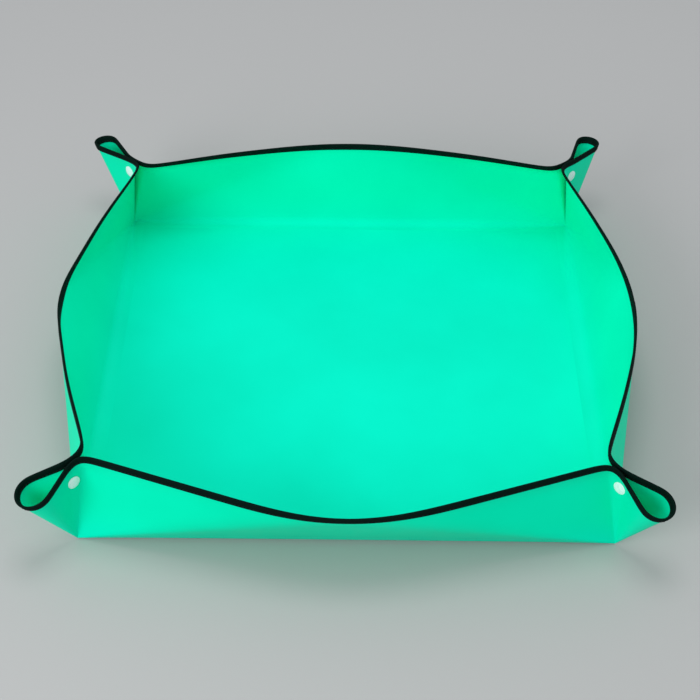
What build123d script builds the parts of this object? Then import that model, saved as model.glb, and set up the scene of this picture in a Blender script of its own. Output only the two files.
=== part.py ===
"""Fold-up potting soil tray: one square of coated cloth, bound all round, pinched up by four corner snaps.

The tray stands on its floor, with the front wall towards -Y. The sheet is cut along its fold lines, which all
run through the four floor corners. A wall panel stands on each floor edge, a flank closes each end of that
wall, and half of a corner ear lies beyond the flank. A snap holds each corner's two ear halves together.
"""
from build123d import *
from math import asin, atan2, cos, hypot, radians, sin, sqrt, tan
import os

# Mat as it is cut, before it is folded
mat_side = 680.0
wall_height = 96.0
mat_corner_radius = 90.0
sheet_thickness = 0.5

# Standing shape, turns, angles and leans in degrees
wall_turn = {"front": 0, "right": 90, "back": 180, "left": 270}
wall_angle = {"front": 59.0, "right": 66.5, "back": 73.5, "left": 64.0}
wall_top_length = 62.0
pinch_lean = 8.0
ear_lean = 32.4
ear_bulge = 12.0
ear_flat_length = 18.0
ear_root = 9.6
ear_root_lap = 0.6

# Binding tape, folded over the edge of the sheet
binding_width = 5.5
binding_thickness = 0.65

# Corner snaps: a cap and a socket on one ear half, a cap and a stud on the other
snap_drop = 26.0
snap_out = 7.0
snap_stack = 3.0
cap_radius = 6.2
cap_rim = 0.4
cap_dome_height = 0.9
flange_radius = 5.2
stud_flange = 0.45
stud_radius = 2.3
stud_height = 1.15
stud_lead = 0.3
socket_web = 0.5
post_radius = 1.2
rivet_radius = 1.7
rivet_height = 0.4

# Clearances
sheet_fold_gap = 0.5
binding_fold_gap = 0.9
ear_tip_gap = 0.4
seam_clearance = 0.1
snap_seat = 0.2
mate_clearance = 0.1
stud_clearance = 0.35
post_clearance = 0.1

half_floor = mat_side / 2 - wall_height
snap_up = wall_height - snap_drop
ear_length = (mat_side / 2 - mat_corner_radius - half_floor) * sqrt(2) + mat_corner_radius
snap_lap = snap_stack / 2 + sheet_thickness / 2
rim_lap = ear_root_lap + (snap_lap - ear_root_lap) * wall_height / snap_up
bound_thickness = sheet_thickness + 2 * binding_thickness
inner_seat = snap_stack / 2 - snap_seat
outer_seat = snap_stack / 2 + sheet_thickness + snap_seat
stud_face = inner_seat - stud_flange
pinch_to_tip = radians(pinch_lean + ear_lean)
ear_chord = sqrt(wall_height**2 + ear_length**2 - 2 * wall_height * ear_length * cos(pinch_to_tip))
up = Vector(0, 0, 1)

# Each wall's two ends, from its left to its right as seen from outside, with the corner found there
wall_ends = {
    "front": {"left": -1, "right": 1},
    "right": {"front": -1, "back": 1},
    "back": {"right": -1, "left": 1},
    "left": {"back": -1, "front": 1},
}
socket_walls = ("front", "back")


def turned(wall, x, y, z):
    """A point or direction of the front wall, carried round to another wall."""
    return Vector(x, y, z).rotate(Axis.Z, wall_turn[wall])


def floor_corner(wall, end):
    return turned(wall, end * half_floor, -half_floor, sheet_thickness / 2)


def wall_top(wall, end):
    """Where the crease from a floor corner meets the rim."""
    lean = radians(wall_angle[wall])
    out = half_floor + wall_height * cos(lean)
    return turned(wall, end * wall_top_length / 2, -out, sheet_thickness / 2 + wall_height * sin(lean))


def diagonal(wall, end):
    """Level direction from the tray's middle out through a corner."""
    return turned(wall, end, -1, 0).normalized()


def ear_side(wall, end):
    """Square to the corner's diagonal plane, towards this wall's half of the ear."""
    return turned(wall, -end, -1, 0).normalized()


def pinch_direction(wall, end):
    lean = radians(pinch_lean)
    return up * cos(lean) - diagonal(wall, end) * sin(lean)


def tip_direction(wall, end):
    lean = radians(ear_lean)
    return up * cos(lean) + diagonal(wall, end) * sin(lean)


def lap(share):
    """Half the distance between the two ear halves where they are pinched, at a share of the height."""
    return ear_root_lap + (rim_lap - ear_root_lap) * share


def pinch_top(wall, end):
    """Where the pinch line meets the rim."""
    return floor_corner(wall, end) + pinch_direction(wall, end) * wall_height + ear_side(wall, end) * lap(1)


def inset(corners, gaps):
    """Corners of a flat panel with each edge moved inwards, the first gap on the edge from the first corner."""
    moved = []
    for i, corner in enumerate(corners):
        before = (corner - corners[i - 1]).normalized()
        after = (corners[(i + 1) % len(corners)] - corner).normalized()
        turn = before.cross(after).length
        moved.append(corner + (after * gaps[i - 1] - before * gaps[i]) * (1 / turn))
    return moved


def panel_plane(corners):
    along = corners[1] - corners[0]
    return Plane(corners[0], x_dir=along, z_dir=along.cross(corners[-1] - corners[0]))


def local_outline(plane, corners):
    return [plane.to_local_coords(corner) for corner in corners]


def write(part, name):
    part.label = name
    export_step(part, f"parts/{name}.step")


def make_panel(name, corners, gaps):
    """A flat piece of the sheet, with its middle in the plane of the corners."""
    plane = panel_plane(corners)
    with BuildPart() as panel:
        with BuildSketch(plane):
            with BuildLine():
                Polyline(*local_outline(plane, inset(corners, gaps)), close=True)
            make_face()
        extrude(amount=sheet_thickness / 2, both=True)
    write(panel.part, name)


def make_edge_binding(name, corners, rim):
    """Tape folded over one straight edge of a panel, the edge that starts at corner number rim."""
    plane = panel_plane(corners)
    count = len(corners)
    past = (rim + 1) % count

    def edge_corners(side_gap, rim_gap):
        gaps = [side_gap] * count
        gaps[rim] = rim_gap
        moved = inset(corners, gaps)
        return moved[rim], moved[past]

    top = edge_corners(binding_fold_gap, 0)
    hem = edge_corners(binding_fold_gap, binding_width)
    fold = edge_corners(0, binding_thickness)
    mouth = edge_corners(0, binding_width + binding_thickness)
    with BuildPart() as binding:
        with BuildSketch(plane):
            with BuildLine():
                Polyline(*local_outline(plane, [*top, hem[1], hem[0]]), close=True)
            make_face()
        extrude(amount=bound_thickness / 2, both=True)
        with BuildSketch(plane):
            with BuildLine():
                Polyline(*local_outline(plane, [*fold, mouth[1], mouth[0]]), close=True)
            make_face()
        extrude(amount=sheet_thickness / 2, both=True, mode=Mode.SUBTRACT)
    write(binding.part, name)


def ear_outline(share, start_gap, thickness):
    """Closed outline of an ear half at a share of its height, along its chord and out to its side.

    The sheet lies flat along the pinch, leaves it on a slant and comes round to the tip on an arc.
    """
    tip_radius = ear_bulge * share - ear_tip_gap
    centre_x = ear_chord * share - tip_radius
    run = centre_x - ear_flat_length * share
    rise = ear_tip_gap - lap(share)
    slant = asin(tip_radius / hypot(run, rise)) + atan2(rise, run)

    def face_points(offset):
        radius = tip_radius + offset
        level = lap(share) + offset
        leave_x = centre_x - radius * sin(slant)
        leave_y = ear_tip_gap + radius * cos(slant)
        knee_x = leave_x - (leave_y - level) / tan(slant)
        return [(start_gap, level), (knee_x, level), (leave_x, leave_y)], (centre_x + radius, ear_tip_gap)

    outer, outer_tip = face_points(thickness / 2)
    inner, inner_tip = face_points(-thickness / 2)
    outer_start = (cos(slant), sin(slant))
    with BuildLine() as outline:
        Polyline(*outer)
        TangentArc(outer[-1], outer_tip, tangent=outer_start)
        Line(outer_tip, inner_tip)
        TangentArc(inner[-1], inner_tip, tangent=outer_start)
        Polyline(*inner)
        Line(inner[0], outer[0])
    return outline.edges()


def ear_plane(end, share):
    """Plane of the ear half's outline at a share of its height."""
    pinch = floor_corner("front", end) + pinch_direction("front", end) * (wall_height * share)
    along = tip_direction("front", end) * ear_length - pinch_direction("front", end) * wall_height
    return Plane(pinch, x_dir=along, z_dir=along.cross(ear_side("front", end)))


def ear_strip(end, low, high, start_gap, thickness):
    """A strip of the ear half's cone between two shares of its height."""
    low_outline = ear_outline(low, start_gap, thickness)
    high_outline = ear_outline(high, start_gap, thickness)
    with BuildPart() as strip:
        with BuildSketch(ear_plane(end, low)):
            make_face(low_outline)
        with BuildSketch(ear_plane(end, high)):
            make_face(high_outline)
        loft(ruled=True)
    return strip.part


def carried_round(part, wall):
    """A copy of a front piece, in its place on another wall."""
    with BuildPart() as copy:
        with Locations(Rotation(0, 0, wall_turn[wall])):
            add(part)
    return copy.part


def snap_centre(wall, end):
    pinch = pinch_direction(wall, end)
    outward = ear_side(wall, end).cross(pinch) * -end
    return floor_corner(wall, end) + pinch * snap_up + outward * snap_out


def make_round(name, wall, end, outline, dome=None):
    """A turned snap piece, its outline in radius and distance from the diagonal plane, any dome added last."""
    centre = snap_centre(wall, end)
    side = ear_side(wall, end)
    radial = pinch_direction(wall, end)
    with BuildPart() as piece:
        with BuildSketch(Plane(centre, x_dir=radial, z_dir=radial.cross(side))):
            with BuildLine():
                Polyline(*outline, close=dome is None)
                if dome:
                    crown = (0, outline[-1][1] + dome)
                    TangentArc(crown, outline[-1], tangent=(1, 0))
                    Line(crown, outline[0])
            make_face()
        revolve(axis=Axis(centre, side))
    write(piece.part, name)


def make_cap(name, wall, end, post):
    """Domed cap on the outside of an ear half, with its post through the sheet."""
    rim = [(post_radius, outer_seat), (cap_radius, outer_seat), (cap_radius, outer_seat + cap_rim)]
    make_round(name, wall, end, [*post, *rim], cap_dome_height)


def make_socket_half(name, wall, end):
    """Socket against the inside of an ear half, held by a cap whose post is riveted over in it."""
    web = inner_seat - socket_web
    mouth = mate_clearance - stud_face
    socket = [
        (post_radius + post_clearance, inner_seat),
        (post_radius + post_clearance, web),
        (stud_radius + stud_clearance, web),
        (stud_radius + stud_clearance, mouth),
        (flange_radius, mouth),
        (flange_radius, inner_seat),
    ]
    make_round(f"{name}_snap_socket", wall, end, socket)

    rivet_top = web - post_clearance
    rivet_low = rivet_top - rivet_height
    post = [(0, rivet_low), (rivet_radius, rivet_low), (rivet_radius, rivet_top), (post_radius, rivet_top)]
    make_cap(f"{name}_snap_socket_cap", wall, end, post)


def make_stud_half(name, wall, end):
    """Stud against the inside of an ear half, reaching into the socket, held by a cap whose post fills it."""
    top = stud_face - stud_height
    stud = [
        (0, top),
        (stud_radius - stud_lead, top),
        (stud_radius, top + stud_lead),
        (stud_radius, stud_face),
        (flange_radius, stud_face),
        (flange_radius, inner_seat),
        (post_radius + post_clearance, inner_seat),
        (post_radius + post_clearance, stud_face - post_clearance),
        (0, stud_face - post_clearance),
    ]
    make_round(f"{name}_snap_stud", wall, end, stud)
    make_cap(f"{name}_snap_stud_cap", wall, end, [(0, stud_face), (post_radius, stud_face)])


os.makedirs("parts", exist_ok=True)

# Floor, up to the fold at each wall
with BuildPart() as floor:
    with BuildSketch():
        Rectangle(2 * (half_floor - sheet_fold_gap), 2 * (half_floor - sheet_fold_gap))
    extrude(amount=sheet_thickness)
write(floor.part, "floor_panel")

for wall, ends in wall_ends.items():
    # Wall panel between its two creases, with the middle of the rim bound
    panel_corners = [floor_corner(wall, -1), floor_corner(wall, 1), wall_top(wall, 1), wall_top(wall, -1)]
    panel_gaps = [sheet_fold_gap, sheet_fold_gap, binding_thickness, sheet_fold_gap]
    make_panel(f"{wall}_panel", panel_corners, panel_gaps)
    make_edge_binding(f"{wall}_binding", panel_corners, 2)

    for neighbour, end in ends.items():
        # Flank between the crease and the pinch line, with its length of the rim bound
        flank_corners = [floor_corner(wall, end), wall_top(wall, end), pinch_top(wall, end)]
        flank_gaps = [sheet_fold_gap, binding_thickness, sheet_fold_gap]
        make_panel(f"{wall}_flank_{neighbour}", flank_corners, flank_gaps)
        make_edge_binding(f"{wall}_flank_binding_{neighbour}", flank_corners, 1)

        # Half of the corner's snap: sockets on the front and back walls' ear halves, studs on the others
        if wall in socket_walls:
            make_socket_half(f"{wall}_{neighbour}", wall, end)
        else:
            make_stud_half(f"{neighbour}_{wall}", wall, end)

for end in (-1, 1):
    # Half of a corner ear, holed for the post of its snap
    with BuildPart() as ear:
        sheet_top = 1 - (binding_thickness + seam_clearance) / ear_length
        add(ear_strip(end, ear_root / wall_height, sheet_top, sheet_fold_gap, sheet_thickness))
        with BuildSketch(Plane(snap_centre("front", end), z_dir=ear_side("front", end))):
            Circle(post_radius + post_clearance)
        extrude(amount=snap_stack, mode=Mode.SUBTRACT)

    # Tape folded over the ear's rim, open below for the sheet
    with BuildPart() as ear_binding:
        add(ear_strip(end, 1 - binding_width / ear_length, 1, binding_fold_gap, bound_thickness))
        slot_low = 1 - (binding_width + binding_thickness) / ear_length
        slot_high = 1 - binding_thickness / ear_length
        slot_width = sheet_thickness + 2 * seam_clearance
        add(ear_strip(end, slot_low, slot_high, 0, slot_width), mode=Mode.SUBTRACT)

    for wall, ends in wall_ends.items():
        neighbour = next(name for name, place in ends.items() if place == end)
        write(carried_round(ear.part, wall), f"{wall}_ear_{neighbour}")
        write(carried_round(ear_binding.part, wall), f"{wall}_ear_binding_{neighbour}")
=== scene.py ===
"""Looks of a fold-up potting soil tray, in metres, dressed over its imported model.

The tray is one square of green coated cloth with a black tape sewn over its edge. Each wall is made as rows
that run along it, from the floor edge up to the rim: out from the wall's middle to its crease, along the
flank to the pinch, and round half of the corner ear to its tip. The rows are softened as bent cloth is, cut
into pieces where the tray folds, and given their thickness. A wall is made in the front wall's place, as two
right halves with one of them mirrored, and carried round to its own side.
"""
import math

import bpy
import numpy as np
from mathutils import Matrix, Vector


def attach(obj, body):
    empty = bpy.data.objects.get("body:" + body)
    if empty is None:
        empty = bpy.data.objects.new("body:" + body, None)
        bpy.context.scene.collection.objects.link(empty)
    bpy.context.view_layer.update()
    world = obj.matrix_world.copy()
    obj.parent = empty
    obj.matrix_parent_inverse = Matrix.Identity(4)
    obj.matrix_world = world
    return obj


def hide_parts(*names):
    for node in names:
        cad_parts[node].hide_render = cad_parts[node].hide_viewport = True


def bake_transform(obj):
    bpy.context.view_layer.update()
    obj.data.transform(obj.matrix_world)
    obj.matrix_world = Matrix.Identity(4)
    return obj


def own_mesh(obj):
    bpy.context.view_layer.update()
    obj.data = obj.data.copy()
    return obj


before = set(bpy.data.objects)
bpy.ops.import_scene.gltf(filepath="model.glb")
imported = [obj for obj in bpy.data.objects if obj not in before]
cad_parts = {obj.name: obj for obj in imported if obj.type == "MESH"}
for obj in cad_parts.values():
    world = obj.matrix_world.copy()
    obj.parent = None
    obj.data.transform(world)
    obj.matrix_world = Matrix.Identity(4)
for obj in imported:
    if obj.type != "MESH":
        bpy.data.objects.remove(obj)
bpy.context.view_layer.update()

# Mat as it is cut
mat_side = 0.680
wall_height = 0.096
mat_corner_radius = 0.090
sheet_thickness = 0.0005

# Walls as they stand: turn round the floor and lean in degrees, straight length of the rim, bow of the
# flanks, how far the bends spread at the rim and at the foot, and how near a corner the foot grows sharp
wall_turn = {"front": 0, "right": 90, "back": 180, "left": 270}
wall_angle = {"front": 56.0, "right": 65.5, "back": 76.5, "left": 64.0}
wall_top_length = {"front": 0.051, "right": 0.068, "back": 0.062, "left": 0.036}
flank_bow = {"front": 0.0, "right": 0.002, "back": 0.003, "left": 0.003}
crease_spread = {"front": 0.037, "right": 0.043, "back": 0.035, "left": 0.0195}
foot_spread = {"front": 0.007, "right": 0.012, "back": 0.009, "left": 0.009}
foot_taper = 0.030

# Ends of each wall, to its left and right as seen from outside, and the kink by the pinch there: how far it
# lies before the pinch, and how far the strip of cloth round it reaches before the kink and past the pinch
wall_ends = {
    "front": {"left": -1, "right": 1},
    "right": {"front": -1, "back": 1},
    "back": {"right": -1, "left": 1},
    "left": {"back": -1, "front": 1},
}
kink_reach = {
    "front": {"left": 0.0045, "right": 0.0045},
    "right": {"front": 0.0125, "back": 0.003},
    "back": {"right": 0.0115, "left": 0.0115},
    "left": {"back": 0.003, "front": 0.0125},
}
kink_margin = 0.012
kink_lead = 0.009
open_kink_lead = {"front": 0.009, "back": 0.020}

# Corners as the snaps hold them, sized for the rim: leans in degrees, flat length of the ear beside the
# snap, half the distance between the ear's halves there, and how far the bend spreads
pinch_lean = 8.0
ear_lean = 32.4
ear_flat_length = 0.018
rim_lap = 0.0022
pinch_spread = 0.004

# Corners as they open above the snaps, from this share of the height: leans in degrees and shifts aside of
# each corner, then the same sizes as above with the reach of the ears and the roundness of their tips
snap_top_share = 0.80
open_corners = {
    "front_left": {"pinch_lean": 5.0, "pinch_aside": -0.0015, "ear_lean": 34.3, "ear_aside": -0.006},
    "front_right": {"pinch_lean": 5.0, "pinch_aside": 0.004, "ear_lean": 35.4, "ear_aside": 0.0},
    "back_left": {"pinch_lean": 15.0, "pinch_aside": -0.0025, "ear_lean": 34.4, "ear_aside": 0.0035},
    "back_right": {"pinch_lean": 14.0, "pinch_aside": 0.0, "ear_lean": 35.4, "ear_aside": 0.016},
}
ear_reach = {"front": 0.090, "back": 0.102}
ear_bulge = {"front": 0.0165, "back": 0.012}
open_flat_length = {"front": 0.002, "back": 0.020}
open_lap = {"front": 0.0002, "back": 0.0010}
open_spread = 0.0095

# Tape over the edge, and its stitches
tape_width = 0.0073
tape_thickness = 0.0024
tape_ply = 0.0008
tape_play = 0.00006
tape_groove = 0.0004
stitch_inset = 0.0056
stitch_pitch = 0.0034
stitch_level_length = 0.0016
stitch_end_length = 0.0005
stitch_dip = 0.0004
stitch_radius = 0.00028
stitch_sides = 5

# Fineness of the mesh, and of the lines that it is averaged from
wall_columns = 32
flank_columns = 44
kink_columns = 26
ear_columns = 40
foot_rows = 8
wall_rows = 20
wall_line_points = 60
flank_line_points = 240
kink_line_points = 24
ear_flat_points = 24
ear_slant_points = 48
ear_round_points = 40

half_floor = mat_side / 2 - wall_height
corner_straight = mat_side / 2 - mat_corner_radius - half_floor
ear_length = corner_straight * math.sqrt(2) + mat_corner_radius
z_axis = np.array([0.0, 0.0, 1.0])
mirror = np.array([-1.0, 1.0, 1.0])
corner = np.array([half_floor, -half_floor, sheet_thickness / 2])
diagonal = np.array([1.0, -1.0, 0.0]) / math.sqrt(2)
ear_side = np.array([-1.0, -1.0, 0.0]) / math.sqrt(2)


def leaning(degrees, level):
    """Direction that leans from upright towards a level direction."""
    lean = math.radians(degrees)
    return z_axis * math.cos(lean) + level * math.sin(lean)


def unit(vector):
    return vector / np.linalg.norm(vector)


def smooth_step(value):
    value = np.clip(value, 0.0, 1.0)
    return value * value * (3 - 2 * value)


def between(start, end, count):
    return start + np.linspace(0.0, 1.0, count)[:, None] * (end - start)


pinch_arm = leaning(pinch_lean, -diagonal) * wall_height
tip_arm = leaning(ear_lean, diagonal) * ear_length

# Side that a held ear half faces: it lies flat by the snap, a little further from the other half at the rim
held_side = unit(np.cross(pinch_arm + ear_side * rim_lap, tip_arm - pinch_arm))
held_side *= np.sign(held_side @ ear_side)

# Rows of cloth


def corner_end(wall, neighbour):
    return "front" if "front" in (wall, neighbour) else "back"


def open_corner(wall, neighbour):
    """Rim shape of the corner between two walls, and which way its shifts go as seen from the first."""
    if wall in ("front", "back"):
        return open_corners[f"{wall}_{neighbour}"], 1.0
    return open_corners[f"{neighbour}_{wall}"], -1.0


def opened(held, free, share):
    """A size at a share of the height: as held up to the snap's top, then going over to the rim's."""
    return held + (free - held) * smooth_step((share - snap_top_share) / (1 - snap_top_share))


def ear_row(wall, neighbour, share):
    """Points of an ear half from pinch to tip at a share of the height, and the way that they run."""
    end = corner_end(wall, neighbour)
    shape, towards = open_corner(wall, neighbour)
    open_pinch = leaning(shape["pinch_lean"], -diagonal) * wall_height
    open_tip = leaning(shape["ear_lean"], diagonal) * ear_reach[end]
    pinch = corner + opened(pinch_arm * share, open_pinch + pinch_arm * (share - 1), share)
    tip = corner + open_tip * share
    length = np.linalg.norm(tip - pinch)
    ahead = (tip - pinch) / length

    # Flat by the snap, slanting out from there, and round at the tip
    lift = opened(rim_lap * share, open_lap[end] + shape["pinch_aside"] * towards, share)
    flat = opened(ear_flat_length * share, open_flat_length[end], share)
    bulge = ear_bulge[end] * share
    centre_x = length - bulge
    centre_y = shape["ear_aside"] * towards * share
    distance = math.hypot(centre_x - flat, centre_y - lift)
    slant = math.asin(bulge / distance) + math.atan2(centre_y - lift, centre_x - flat)
    turn = np.linspace(math.pi / 2 + slant, 0.0, ear_round_points)
    round_part = np.stack([centre_x + bulge * np.cos(turn), centre_y + bulge * np.sin(turn)], axis=1)
    flat_end = np.array([flat, lift])
    flat_part = between(np.array([0.0, lift]), flat_end, ear_flat_points)
    slant_part = between(flat_end, round_part[0], ear_slant_points)
    x, y = np.concatenate([flat_part, slant_part[1:-1], round_part]).T
    return pinch + np.outer(x, ahead) + np.outer(y, ear_side), ahead


def wall_places(wall, neighbour, share):
    """Middle, crease and kink of a wall's right half at a share of its height, and its ear half's points."""
    lean = math.radians(wall_angle[wall])
    slant = wall_height * share
    out = half_floor + slant * math.cos(lean)
    middle = np.array([0.0, -out, sheet_thickness / 2 + slant * math.sin(lean)])
    crease_x = half_floor + (wall_top_length[wall] / 2 - half_floor) * share
    crease = middle + np.array([crease_x, 0.0, 0.0])
    ear, ahead = ear_row(wall, neighbour, share)
    kink = ear[0] - share * kink_reach[wall][neighbour] * ahead
    return middle, crease, kink, ear


def flank_line(crease, kink, bow):
    """Points of a flank from its crease to its kink, bowed outwards in between."""
    arch = bow * np.sin(np.linspace(0.0, math.pi, flank_line_points)) ** 2
    outwards = unit(np.cross(kink - crease, z_axis))
    return between(crease, kink, flank_line_points) + np.outer(arch, outwards)


def path_lengths(points):
    steps = np.linalg.norm(np.diff(points, axis=0), axis=1)
    return np.concatenate([[0.0], np.cumsum(steps)])


def kink_reaches(wall, neighbour, share):
    """How far the strip of cloth reaches before the kink and past the pinch, at a share of the height."""
    lead = opened(kink_lead * share, open_kink_lead[corner_end(wall, neighbour)], share)
    return kink_margin * share, lead


def column_lengths(marks, margin, lead):
    """Where the columns lie along a row whose middle, crease, kink, pinch and tip lie at these lengths."""
    middle, crease, kink, pinch, tip = marks
    spread = np.linspace(0.0, 1.0, flank_columns + 1)
    spread = (spread + smooth_step(spread)) / 2
    strip_start = kink - margin
    wall_part = np.linspace(middle, crease, wall_columns + 1)
    flank_part = crease + (strip_start - crease) * spread
    strip_part = np.linspace(strip_start, pinch + lead, kink_columns + 1)
    ear_part = np.linspace(pinch + lead, tip, ear_columns + 1)
    return np.concatenate([wall_part, flank_part[1:], strip_part[1:], ear_part[1:]])


# Columns of half a wall at which its parts meet
crease_column = wall_columns
kink_column = crease_column + flank_columns
ear_column = kink_column + kink_columns
tip_column = ear_column + ear_columns


def half_row(wall, neighbour, share):
    """A wall's right half at a share of its height, as softly bent cloth, one point for each column."""
    middle, crease, kink, ear = wall_places(wall, neighbour, share)
    flank = flank_line(crease, kink, flank_bow[wall] * share**2)
    wall_line = between(middle, crease, wall_line_points)
    kink_line = between(kink, ear[0], kink_line_points)
    parts = [wall_line[:-1], flank[:-1], kink_line[:-1], ear]
    path = np.concatenate(parts)
    lengths = path_lengths(path)
    starts = np.cumsum([0] + [len(part) for part in parts[:-1]])
    marks = [*lengths[starts], lengths[-1]]
    _, to_crease, to_kink, to_pinch, to_tip = marks
    columns = column_lengths(marks, *kink_reaches(wall, neighbour, share))

    # Cloth past the middle mirrors this half, and cloth past the tip mirrors this half of the ear
    before = path[:0:-1] * mirror
    after = ear[-2::-1] - 2 * np.outer((ear[-2::-1] - ear[-1]) @ ear_side, ear_side)
    whole = np.concatenate([before, path, after])
    places = path_lengths(whole) - to_tip

    # Each point is an average of the cloth near it, over the bend's spread there
    along_flank = smooth_step((columns - to_crease) / (to_kink - to_crease))
    along_ear = smooth_step((columns - to_pinch) / ((to_tip - to_pinch) / 2))
    held_spread = pinch_spread * share
    kink_spread = opened(held_spread, open_spread, share)
    spread = crease_spread[wall] * share * (1 - along_flank)
    spread += along_flank * (kink_spread * (1 - along_ear) + held_spread * along_ear)
    reach = (columns[:, None] - places[None, :]) / spread[:, None]
    weight = np.exp(-0.5 * reach**2) * np.gradient(places)
    return weight @ whole / weight.sum(axis=1, keepdims=True)


def foot_lift(wall, across, distance):
    """How far a wall's rounded foot leaves the sharp fold, by place along the edge and distance from it."""
    lean = math.radians(wall_angle[wall])
    least_reach = 1e-6
    from_corner = half_floor * (1 - np.abs(across))
    reach = foot_spread[wall] * (1 - np.exp(-from_corner / foot_taper)) + least_reach
    share = np.clip(1 - np.abs(distance) / reach, 0.0, 1.0) / 2
    leaving = np.array([0.0, 1 - math.cos(lean), math.sin(lean)])
    return (reach * share**2)[:, None] * leaving


# Distances of the rows from the fold at the foot: up the wall, and over the floor beside it
first_row = 0.0003
foot_reach = max(foot_spread.values())
low_rows = np.linspace(0.0, foot_reach, foot_rows + 1)[1:]
tape_rows = wall_height - np.array([tape_width, stitch_inset, 0.5 * tape_width, 0.25 * tape_width, tape_ply])
high_rows = np.linspace(low_rows[-1], tape_rows[0], wall_rows + 1)[1:-1]
wall_distances = np.concatenate([[first_row], low_rows, high_rows, tape_rows, [wall_height]])
floor_distances = np.linspace(-foot_reach, 0.0, foot_rows + 1)
rim_row = len(wall_distances) - 1
hem_row = rim_row - len(tape_rows)


def wall_grid(wall):
    """Points of a whole wall, row by row from its foot to its rim, in the front wall's place."""
    across = np.linspace(0.0, 1.0, wall_columns + 1)
    rows = []
    for distance in wall_distances:
        left, right = (half_row(wall, neighbour, distance / wall_height) for neighbour in wall_ends[wall])
        for half in (left, right):
            half[: wall_columns + 1] += foot_lift(wall, across, distance)
        rows.append(np.concatenate([left[:0:-1] * mirror, right]))
    return np.array(rows)


def floor_grid(wall):
    """Points of the floor beside a wall, row by row out to the fold, mitred at the corners."""
    across = np.linspace(-1.0, 1.0, 2 * wall_columns + 1)
    rows = []
    for distance in floor_distances:
        out = half_floor + distance
        level = np.stack(np.broadcast_arrays(across * out, -out, sheet_thickness / 2), axis=1)
        rows.append(level + foot_lift(wall, across, distance))
    return np.array(rows)


def flat_half_row(wall, neighbour, distance):
    """Where a row of half a wall lies on the mat before it is folded."""
    share = distance / wall_height
    crease = half_floor + (wall_top_length[wall] / 2 - half_floor) * share
    kink = half_floor - kink_reach[wall][neighbour] * share
    marks = [0.0, crease, kink, half_floor, half_floor + distance]
    columns = column_lengths(marks, *kink_reaches(wall, neighbour, share))
    level = columns[columns <= half_floor]
    straight_part = np.stack(np.broadcast_arrays(level, -half_floor - distance), axis=1)

    # The ear's edge is straight at first, and then follows the mat's rounded corner
    angle = (columns[columns > half_floor] - half_floor) / distance * math.pi / 4
    slant = corner_straight * (np.sin(angle) + np.cos(angle))
    arm = slant + np.sqrt(slant**2 - 2 * corner_straight**2 + mat_corner_radius**2)
    arm = np.minimum(arm, wall_height / np.cos(angle)) * share
    ear_part = np.stack([half_floor + arm * np.sin(angle), -half_floor - arm * np.cos(angle)], axis=1)
    return np.concatenate([straight_part, ear_part])


def flat_wall_grid(wall):
    """Where the points of a whole wall lie on the mat before it is folded."""
    rows = []
    for distance in wall_distances:
        left, right = (flat_half_row(wall, neighbour, distance) for neighbour in wall_ends[wall])
        rows.append(np.concatenate([left[:0:-1] * mirror[:2], right]))
    return np.array(rows)


def flat_floor_rows():
    across = np.linspace(-1.0, 1.0, 2 * wall_columns + 1)
    outs = half_floor + floor_distances
    return np.array([np.stack(np.broadcast_arrays(across * out, -out), axis=1) for out in outs])


def slopes(points):
    """Direction of the path through each point of a row of points, or of many rows side by side."""
    least_length = 1e-9
    steps = np.diff(points, axis=0)
    lengths = np.linalg.norm(steps, axis=-1, keepdims=True) + least_length
    rates = steps / lengths
    inner = (rates[:-1] * lengths[1:] + rates[1:] * lengths[:-1]) / (lengths[1:] + lengths[:-1])
    return np.concatenate([rates[:1], inner, rates[-1:]])


def slopes_along(grid):
    return slopes(grid.transpose(1, 0, 2)).transpose(1, 0, 2)


def facing(along, up):
    """Unit directions square to the cloth, on its outer side."""
    normal = np.cross(along, up)
    return normal / np.linalg.norm(normal, axis=2, keepdims=True)


def carried(points, wall):
    """Points of the front wall's place, carried round to another wall."""
    turn = math.radians(wall_turn[wall])
    x_way = [math.cos(turn), math.sin(turn), 0.0]
    y_way = [-math.sin(turn), math.cos(turn), 0.0]
    return points @ np.array([x_way, y_way, z_axis])


# Meshes


def new_piece(name, points, faces, material, flat, normals=None):
    """A smooth mesh object, with its places on the flat cloth or tape as its UV map."""
    mesh = bpy.data.meshes.new(name)
    mesh.from_pydata(points.tolist(), [], faces)
    piece = bpy.data.objects.new(name, mesh)
    bpy.context.scene.collection.objects.link(piece)
    mesh.materials.append(material)
    corners = np.zeros(len(mesh.loops), dtype=np.int32)
    mesh.loops.foreach_get("vertex_index", corners)
    layer = mesh.uv_layers.new(name="flat_cloth")
    layer.data.foreach_set("uv", flat[corners].astype(np.float32).ravel())
    mesh.shade_smooth()
    if normals is not None:
        mesh.normals_split_custom_set(normals.tolist())
    return piece


def grid_faces(rows, columns, start=0):
    faces = []
    for i in range(rows - 1):
        for j in range(columns - 1):
            a = start + i * columns + j
            faces.append((a, a + 1, a + columns + 1, a + columns))
    return faces


def grid_edge(rows, columns):
    """Points round the edge of a grid, in the order that its faces turn."""
    low = list(range(columns))
    right = [i * columns + columns - 1 for i in range(1, rows)]
    high = [(rows - 1) * columns + j for j in range(columns - 2, -1, -1)]
    left = [i * columns for i in range(rows - 2, 0, -1)]
    return low + right + high + left


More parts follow.
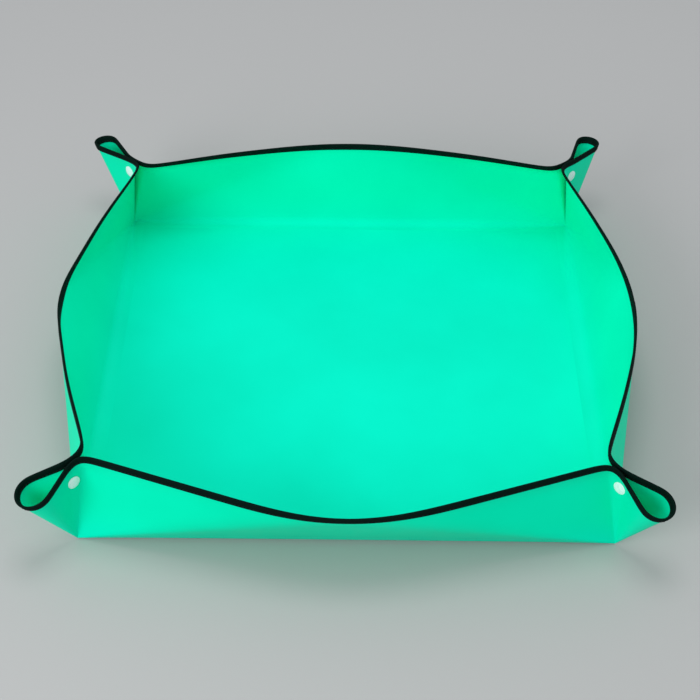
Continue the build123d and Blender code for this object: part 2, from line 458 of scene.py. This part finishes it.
def cloth_piece(name, points, normals, flat, material):
    """A piece of the sheet: two faces, and an edge all round."""
    least_length = 1e-12
    rows, columns = points.shape[:2]
    count = rows * columns
    middle = points.reshape(-1, 3)
    square = normals.reshape(-1, 3)
    both = np.concatenate([middle + square * sheet_thickness / 2, middle - square * sheet_thickness / 2])
    upper = grid_faces(rows, columns)
    lower = [tuple(reversed(face)) for face in grid_faces(rows, columns, count)]
    edge = grid_edge(rows, columns)
    rim = [(b, a, a + count, b + count) for a, b in zip(edge, edge[1:] + edge[:1])]
    corner_normals = []
    for face in upper:
        corner_normals.extend(square[k] for k in face)
    for face in lower:
        corner_normals.extend(-square[k - count] for k in face)
    for face in rim:
        a, b, c = (both[k] for k in face[:3])
        out = np.cross(b - a, c - b)
        corner_normals.extend([out / max(np.linalg.norm(out), least_length)] * len(face))
    flat_points = np.tile(flat.reshape(-1, 2), (2, 1))
    piece = new_piece(name, both, upper + lower + rim, material, flat_points, np.array(corner_normals))
    return piece


def tape_outline():
    """Closed outline of the folded tape: distance below the rim, and from the middle of the cloth."""
    half = tape_thickness / 2
    inside = sheet_thickness / 2 + tape_play
    hem_lip = 0.0001
    hem_round = (0.0002, 0.00012)
    hem_slope = (0.0007, 0.00003)
    groove_depth = 0.4 * tape_groove
    rim_swell = (0.0009, 0.00006)
    rim_turns = (90, 65, 40, 18)
    outside = [
        (tape_width, inside + hem_lip),
        (tape_width - hem_round[0], half - hem_round[1]),
        (tape_width - hem_slope[0], half - hem_slope[1]),
        (stitch_inset + tape_groove, half),
        (stitch_inset, half - groove_depth),
        (stitch_inset - tape_groove, half),
        (half + rim_swell[0], half + rim_swell[1]),
    ]
    for degrees in rim_turns:
        turn = math.radians(degrees)
        outside.append((half - half * math.cos(turn), half * math.sin(turn)))
    other_side = [(below, -away) for below, away in reversed(outside)]
    slot = [(tape_width, -inside), (tape_ply, -inside), (tape_ply, inside), (tape_width, inside)]
    return np.array(outside + other_side + slot)


def tape_piece(name, edge, material):
    """A length of tape along the rim, closed at both ends."""
    rim, hem, rim_normal, hem_normal = edge
    outline = tape_outline()
    count = len(outline)
    share = (outline[:, 0] / tape_width)[None, :, None]
    square = rim_normal[:, None] + (hem_normal - rim_normal)[:, None] * share
    points = rim[:, None] + (hem - rim)[:, None] * share + square * outline[None, :, 1:]
    columns = len(rim)
    faces = []
    for i in range(columns - 1):
        for j in range(count):
            k = (j + 1) % count
            faces.append((i * count + j, i * count + k, (i + 1) * count + k, (i + 1) * count + j))
    faces.append(tuple(range(count - 1, -1, -1)))
    faces.append(tuple((columns - 1) * count + j for j in range(count)))
    around = np.concatenate([[0.0], np.cumsum(np.linalg.norm(np.diff(outline, axis=0), axis=1))])
    flat = np.stack(np.broadcast_arrays(path_lengths(rim)[:, None], around[None, :]), axis=2)
    piece = new_piece(name, points.reshape(-1, 3), faces, material, flat.reshape(-1, 2))
    for end_face in piece.data.polygons[-2:]:
        end_face.use_smooth = False
    return piece


def select_faces(piece, chosen):
    """Goes into edit mode with only the chosen faces selected."""
    bpy.ops.object.mode_set(mode="EDIT")
    bpy.ops.mesh.select_mode(type="FACE")
    bpy.ops.mesh.select_all(action="DESELECT")
    bpy.ops.object.mode_set(mode="OBJECT")
    for face in piece.data.polygons:
        face.select = chosen(face)
    bpy.ops.object.mode_set(mode="EDIT")


def in_order(points, faces):
    """The same points and faces in a fixed order, since an extrusion leaves them in any order."""
    order = np.lexsort(points.T)
    places = np.argsort(order).tolist()
    ordered_faces = []
    for face in faces:
        turn = [places[k] for k in face]
        first = turn.index(min(turn))
        ordered_faces.append((*turn[first:], *turn[:first]))
    return points[order], sorted(ordered_faces)


def model_stitch():
    """Points and faces of one stitch, which lies along X and turns down into the tape at both ends."""
    along_x = (0.0, math.pi / 2, 0.0)
    end_facing = 0.9
    bpy.ops.object.select_all(action="DESELECT")
    bpy.ops.mesh.primitive_cylinder_add(
        vertices=stitch_sides, radius=stitch_radius, depth=stitch_level_length, rotation=along_x
    )
    stitch = bpy.context.object
    bpy.ops.object.transform_apply(location=False, rotation=True, scale=False)
    for way in (-1, 1):
        select_faces(stitch, lambda face: face.normal.x * way > end_facing)
        shift = (way * stitch_end_length, 0.0, -stitch_dip)
        bpy.ops.mesh.extrude_region_move(TRANSFORM_OT_translate={"value": shift})
        bpy.ops.object.mode_set(mode="OBJECT")
    points = np.array([vertex.co for vertex in stitch.data.vertices])
    faces = [tuple(face.vertices) for face in stitch.data.polygons]
    bpy.data.meshes.remove(stitch.data)
    return in_order(points, faces)


def at_length(lengths, values, place):
    """Values along a path, at one length of it."""
    return np.array([np.interp(place, lengths, values[:, k]) for k in range(3)])


def stitch_piece(name, edge, stitch, material):
    """The stitches along a length of tape, on both its faces: copies of one stitch."""
    rim, hem, rim_normal, hem_normal = edge
    share = stitch_inset / tape_width
    line = rim + (hem - rim) * share
    square = rim_normal + (hem_normal - rim_normal) * share
    along = slopes(line)
    lengths = path_lengths(line)
    count = max(1, round(lengths[-1] / stitch_pitch))
    stitch_points, stitch_faces = stitch
    points = []
    flat = []
    faces = []
    for place in (np.arange(count) + 0.5) * lengths[-1] / count:
        spot = at_length(lengths, line, place)
        ahead = unit(at_length(lengths, along, place))
        out = at_length(lengths, square, place)
        out = unit(out - ahead * (out @ ahead))
        for face_out in (out, -out):
            start = len(points) * len(stitch_points)
            axes = np.array([ahead, np.cross(face_out, ahead), face_out])
            points.append(spot + face_out * tape_thickness / 2 + stitch_points @ axes)
            flat.append(stitch_points[:, :2] + np.array([place, 0.0]))
            faces.extend(tuple(start + k for k in face) for face in stitch_faces)
    piece = new_piece(name, np.concatenate(points), faces, material, np.concatenate(flat))
    return piece


# Materials: dark and light shades, pitches of the threads, and the distances from the mat's middle between
# which the floor's painted light, a bluer tint, goes over to the walls' painted shade, a greener tint

# Painted light: the floor's shades are bluer and the walls' greener, as one and the same cloth looks where
# it is lit and where it is shaded
lit_floor_painted_tints = ((0.0004, 0.79, 0.525), (0.0006, 0.87, 0.595))
shaded_wall_painted_tints = ((0.0004, 0.79, 0.45), (0.0006, 0.87, 0.51))
cloth_gloss_tint = (0.02, 1.0, 0.92, 1.0)
tape_shades = ((0.0006, 0.0050, 0.0035), (0.0020, 0.0160, 0.0115))
thread_shades = ((0.0015, 0.0055, 0.0040), (0.0060, 0.0150, 0.0120))
plastic_shades = ((0.66, 0.97, 0.89), (0.77, 0.99, 0.95))
table_grey = (0.45, 0.45, 0.45, 1.0)
sky_white = (0.95, 0.98, 1.0, 1.0)
weave_pitch = 0.0009
tape_rib_pitch = 0.0007
thread_twist_pitch = 0.0004
painted_tint_span = (half_floor - 0.02, half_floor + 0.05)


def node_material(name):
    material = bpy.data.materials.new(name)
    material.use_nodes = True
    nodes = material.node_tree.nodes
    return nodes, material.node_tree.links, nodes["Principled BSDF"], material


def noise_node(nodes, links, vector, scale, detail):
    noise = nodes.new("ShaderNodeTexNoise")
    noise.inputs["Scale"].default_value = scale
    noise.inputs["Detail"].default_value = detail
    links.new(vector, noise.inputs["Vector"])
    return noise.outputs["Fac"]


def ribs_node(nodes, links, vector, way, pitch):
    """Soft ribs across a way, at a pitch in metres. Diagonal ribs lie wider, by the root of two."""
    pitch_at_scale_one = math.pi / 10
    ribs = nodes.new("ShaderNodeTexWave")
    ribs.bands_direction = way
    ribs.inputs["Scale"].default_value = pitch_at_scale_one / pitch
    links.new(vector, ribs.inputs["Vector"])
    return ribs.outputs["Fac"]


def shade_node(nodes, links, factor, shades, low=0.0, high=1.0):
    """A colour between a dark and a light shade."""
    dark, light = shades
    ramp = nodes.new("ShaderNodeValToRGB")
    ramp.color_ramp.elements[0].position = low
    ramp.color_ramp.elements[0].color = (*dark, 1.0)
    ramp.color_ramp.elements[1].position = high
    ramp.color_ramp.elements[1].color = (*light, 1.0)
    links.new(factor, ramp.inputs["Fac"])
    return ramp.outputs["Color"]


def range_node(nodes, links, value, low, high):
    span = nodes.new("ShaderNodeMapRange")
    span.inputs["To Min"].default_value = low
    span.inputs["To Max"].default_value = high
    links.new(value, span.inputs["Value"])
    return span.outputs["Result"]


def math_node(nodes, links, operation, first, second):
    step = nodes.new("ShaderNodeMath")
    step.operation = operation
    links.new(first, step.inputs[0])
    links.new(second, step.inputs[1])
    return step.outputs["Value"]


def mix_node(nodes, links, factor, first, second):
    """A mix of two colours, whose sockets come after those for numbers and vectors."""
    mix = nodes.new("ShaderNodeMix")
    mix.data_type = "RGBA"
    links.new(factor, mix.inputs["Factor"])
    links.new(first, mix.inputs[6])
    links.new(second, mix.inputs[7])
    return mix.outputs[2]


def bump_node(nodes, links, shader, height, strength, distance):
    bump = nodes.new("ShaderNodeBump")
    bump.inputs["Strength"].default_value = strength
    bump.inputs["Distance"].default_value = distance
    links.new(height, bump.inputs["Height"])
    links.new(bump.outputs["Normal"], shader.inputs["Normal"])


def flat_place(nodes):
    flat = nodes.new("ShaderNodeUVMap")
    flat.uv_map = "flat_cloth"
    return flat.outputs["UV"]


def from_middle(nodes, links, flat, low, high):
    """How far out a place on the mat lies, from 0 at one distance from the middle to 1 at another."""
    split = nodes.new("ShaderNodeSeparateXYZ")
    links.new(flat, split.inputs["Vector"])
    sides = []
    for axis in ("X", "Y"):
        side = nodes.new("ShaderNodeMath")
        side.operation = "ABSOLUTE"
        links.new(split.outputs[axis], side.inputs[0])
        sides.append(side.outputs["Value"])
    span = nodes.new("ShaderNodeMapRange")
    span.interpolation_type = "SMOOTHSTEP"
    span.inputs["From Min"].default_value = low
    span.inputs["From Max"].default_value = high
    links.new(math_node(nodes, links, "MAXIMUM", *sides), span.inputs["Value"])
    return span.outputs["Result"]


def coated_cloth():
    """Mint green cloth: a fine weave under a satin coat, with slight random changes of shade, and with
    painted light: the floor is painted bluer, as the lit cloth looks, and the walls greener, as the shaded
    cloth looks.
    """
    nodes, links, shader, material = node_material("mint_coated_cloth")
    flat = flat_place(nodes)
    patches = noise_node(nodes, links, flat, scale=6.0, detail=3.0)
    # Painted light: the floor's lit tint goes over to the walls' shaded tint, by distance from the mat's
    # middle
    lit_floor_colour = shade_node(nodes, links, patches, lit_floor_painted_tints, low=0.3, high=0.7)
    shaded_wall_colour = shade_node(nodes, links, patches, shaded_wall_painted_tints, low=0.3, high=0.7)
    painted_tint_wallward = from_middle(nodes, links, flat, *painted_tint_span)
    links.new(mix_node(nodes, links, painted_tint_wallward, lit_floor_colour, shaded_wall_colour), shader.inputs["Base Color"])
    warp = ribs_node(nodes, links, flat, "X", weave_pitch)
    weft = ribs_node(nodes, links, flat, "Y", weave_pitch)
    weave = math_node(nodes, links, "MULTIPLY", warp, weft)
    bump_node(nodes, links, shader, weave, strength=0.10, distance=0.0001)
    wear = noise_node(nodes, links, flat, scale=40.0, detail=4.0)
    links.new(range_node(nodes, links, wear, low=0.38, high=0.52), shader.inputs["Roughness"])
    shader.inputs["Specular IOR Level"].default_value = 0.05
    shader.inputs["Specular Tint"].default_value = cloth_gloss_tint
    return material


def edge_tape():
    """Black woven tape with fine ribs across it."""
    nodes, links, shader, material = node_material("black_edge_tape")
    flat = flat_place(nodes)
    ribs = ribs_node(nodes, links, flat, "X", tape_rib_pitch)
    fuzz = noise_node(nodes, links, flat, scale=900.0, detail=3.0)
    yarn = math_node(nodes, links, "MULTIPLY", ribs, fuzz)
    shade = shade_node(nodes, links, yarn, tape_shades, low=0.1, high=0.6)
    links.new(shade, shader.inputs["Base Color"])
    bump_node(nodes, links, shader, yarn, strength=0.3, distance=0.0002)
    shader.inputs["Roughness"].default_value = 0.75
    shader.inputs["Specular IOR Level"].default_value = 0.04
    return material


def sewing_thread():
    """Black thread, twisted, a little glossier than the tape."""
    nodes, links, shader, material = node_material("black_sewing_thread")
    flat = flat_place(nodes)
    twist = ribs_node(nodes, links, flat, "DIAGONAL", thread_twist_pitch)
    shade = shade_node(nodes, links, twist, thread_shades)
    links.new(shade, shader.inputs["Base Color"])
    bump_node(nodes, links, shader, twist, strength=0.3, distance=0.0001)
    shader.inputs["Roughness"].default_value = 0.5
    shader.inputs["Specular IOR Level"].default_value = 0.15
    return material


def snap_plastic():
    """Pale mint plastic of the snaps, moulded and slightly cloudy."""
    nodes, links, shader, material = node_material("pale_snap_plastic")
    place = nodes.new("ShaderNodeTexCoord").outputs["Object"]
    cloud = noise_node(nodes, links, place, scale=300.0, detail=2.0)
    shade = shade_node(nodes, links, cloud, plastic_shades, low=0.3, high=0.7)
    links.new(shade, shader.inputs["Base Color"])
    links.new(range_node(nodes, links, cloud, low=0.22, high=0.34), shader.inputs["Roughness"])
    return material


def table_top():
    """Pale, plain table."""
    *_, shader, material = node_material("pale_table")
    shader.inputs["Base Color"].default_value = table_grey
    shader.inputs["Roughness"].default_value = 0.85
    shader.inputs["Specular IOR Level"].default_value = 0.1
    return material


green_cloth = coated_cloth()
black_tape = edge_tape()
black_thread = sewing_thread()
tape_stitch = model_stitch()
pale_plastic = snap_plastic()

# Pieces of the sheet, tape and thread


def columns_of(end, first, last):
    """Columns of a whole wall from one column of its half to another, on the right or the left half."""
    if end > 0:
        return slice(tip_column + first, tip_column + last + 1)
    return slice(tip_column - last, tip_column - first + 1)


foot_part = columns_of(1, -crease_column, crease_column)


def make_foot(wall, points, floor_points, normals, profile_up, flat_wall):
    """The rounded fold between the floor and a wall."""
    upper = slice(1, foot_rows + 1)
    floor_normals = facing(slopes_along(floor_points), profile_up[: foot_rows + 1])
    floor_normals[0] = -z_axis
    foot_points = np.concatenate([floor_points, points[upper, foot_part]])
    foot_normals = np.concatenate([floor_normals, normals[upper, foot_part]])
    foot_flat = np.concatenate([flat_floor_rows(), flat_wall[upper, foot_part]])
    foot = cloth_piece(f"{wall}_foot_fold", foot_points, foot_normals, foot_flat, green_cloth)
    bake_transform(foot)


def make_wall(wall):
    """A whole wall: its foot fold, and its two halves."""
    points = carried(wall_grid(wall), wall)
    floor_points = carried(floor_grid(wall), wall)
    flat_wall = flat_wall_grid(wall)
    profile_up = slopes(np.concatenate([floor_points, points[1:, foot_part]]))
    up = slopes(points)
    up[1:, foot_part] = profile_up[foot_rows + 1 :]
    normals = facing(slopes_along(points), up)
    make_foot(wall, points, floor_points, normals, profile_up, flat_wall)
    for neighbour, end in wall_ends[wall].items():
        make_half(wall, neighbour, end, points, normals, flat_wall)


def make_half(wall, neighbour, end, points, normals, flat_wall):
    """Half a wall: its panel, flank, kink and ear, with the tape and stitches along the rim."""
    ear_body = f"ear_{wall}_{neighbour}"
    panel_part = columns_of(end, 0, crease_column)
    flank_part = columns_of(end, crease_column, kink_column)
    edge_part = columns_of(end, 0, kink_column)
    kink_part = columns_of(end, kink_column, ear_column)
    ear_part = columns_of(end, ear_column, tip_column)

    def cloth(name, columns, first=0):
        part = (slice(first, rim_row), columns)
        return cloth_piece(name, points[part], normals[part], flat_wall[part], green_cloth)

    def taped(name, columns):
        edge = [grid[row, columns] for grid in (points, normals) for row in (rim_row, hem_row)]
        tape = tape_piece(f"{wall}_{name}tape_{neighbour}", edge, black_tape)
        stitches = stitch_piece(f"{wall}_{name}stitches_{neighbour}", edge, tape_stitch, black_thread)
        return tape, stitches

    # Panel and flank, with the crease between them
    panel = cloth(f"{wall}_wall_{neighbour}", panel_part, foot_rows)
    flank = cloth(f"{wall}_flank_{neighbour}_cloth", flank_part)
    edge_tape_piece, edge_stitches = taped("", edge_part)
    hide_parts(f"{wall}_panel")
    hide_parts(f"{wall}_flank_{neighbour}")
    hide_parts(f"{wall}_binding", f"{wall}_flank_binding_{neighbour}")
    for piece in (panel, flank, edge_tape_piece, edge_stitches):
        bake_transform(piece)

    # Kink between the flank and the ear
    strip = cloth(f"{wall}_kink_{neighbour}", kink_part)
    for piece in (strip, *taped("kink_", kink_part)):
        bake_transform(piece)

    # Ear half
    ear = cloth(f"{wall}_ear_{neighbour}_cloth", ear_part)
    ear_tape, ear_stitches = taped("ear_", ear_part)
    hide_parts(f"{wall}_ear_{neighbour}")
    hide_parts(f"{wall}_ear_binding_{neighbour}")
    for piece in (ear, ear_tape, ear_stitches):
        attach(piece, ear_body)
        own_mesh(piece)


def make_floor():
    span = np.linspace(foot_reach - half_floor, half_floor - foot_reach, 2 * wall_columns + 1)
    x, y = np.meshgrid(span, span)
    points = np.stack(np.broadcast_arrays(x, y, sheet_thickness / 2), axis=2)
    normals = np.broadcast_to(z_axis, points.shape)
    floor = cloth_piece("floor_cloth", points, normals, points[:, :, :2], green_cloth)
    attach(floor, "floor")
    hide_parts("floor_panel")


def finish_snaps():
    for name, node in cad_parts.items():
        if "snap" in name:
            node.data.materials.clear()
            node.data.materials.append(pale_plastic)


make_floor()
for wall_name in wall_turn:
    make_wall(wall_name)
finish_snaps()

# Table, light and camera

table_side = 8.0
table_drop = 0.0004
camera_pitch = math.radians(40.4)
camera_roll = math.radians(-0.61)
camera_distance = 1.691
camera_aside = 0.0016
camera_lift = 0.0151
focal_pixels = 1657.0
image_pixels = 700.0
sensor_width = 36.0


def make_table():
    bpy.ops.object.select_all(action="DESELECT")
    bpy.ops.mesh.primitive_plane_add(size=table_side, location=(0.0, 0.0, -table_drop))
    table = bpy.context.object
    table.name = "table"
    table.data.materials.append(table_top())


def make_lamp(name, place, size, power):
    """A round soft lamp that shines on the tray."""
    lamp = bpy.data.lights.new(name, "AREA")
    lamp.shape = "DISK"
    lamp.size = size
    lamp.energy = power
    holder = bpy.data.objects.new(name, lamp)
    holder.location = place
    holder.rotation_euler = (-Vector(place)).to_track_quat("-Z", "Y").to_euler()
    bpy.context.scene.collection.objects.link(holder)


def make_world(strength):
    world = bpy.data.worlds.new("studio")
    world.use_nodes = True
    sky = world.node_tree.nodes["Background"]
    sky.inputs["Color"].default_value = sky_white
    sky.inputs["Strength"].default_value = strength
    bpy.context.scene.world = world


def make_camera():
    """The camera, pitched down at the tray and rolled a little."""
    data = bpy.data.cameras.new("photo_camera")
    data.sensor_width = sensor_width
    data.lens = focal_pixels / image_pixels * sensor_width
    camera = bpy.data.objects.new("photo_camera", data)
    bpy.context.scene.collection.objects.link(camera)
    ahead = Vector((0.0, math.cos(camera_pitch), -math.sin(camera_pitch)))
    level = Vector((1.0, 0.0, 0.0))
    upward = Vector((0.0, math.sin(camera_pitch), math.cos(camera_pitch)))
    right = level * math.cos(camera_roll) - upward * math.sin(camera_roll)
    top = level * math.sin(camera_roll) + upward * math.cos(camera_roll)
    place = level * camera_aside + upward * camera_lift - ahead * camera_distance
    axes = Matrix((right, top, -ahead)).transposed().to_4x4()
    camera.matrix_world = Matrix.Translation(place) @ axes
    bpy.context.scene.camera = camera


make_table()
make_world(strength=0.73)
make_lamp("key_lamp", place=(-1.45, -1.8, 1.15), size=1.2, power=27.0)
make_lamp("top_lamp", place=(0.0, 0.1, 2.4), size=1.2, power=12.5)
make_camera()
bpy.context.scene.view_settings.view_transform = "Standard"
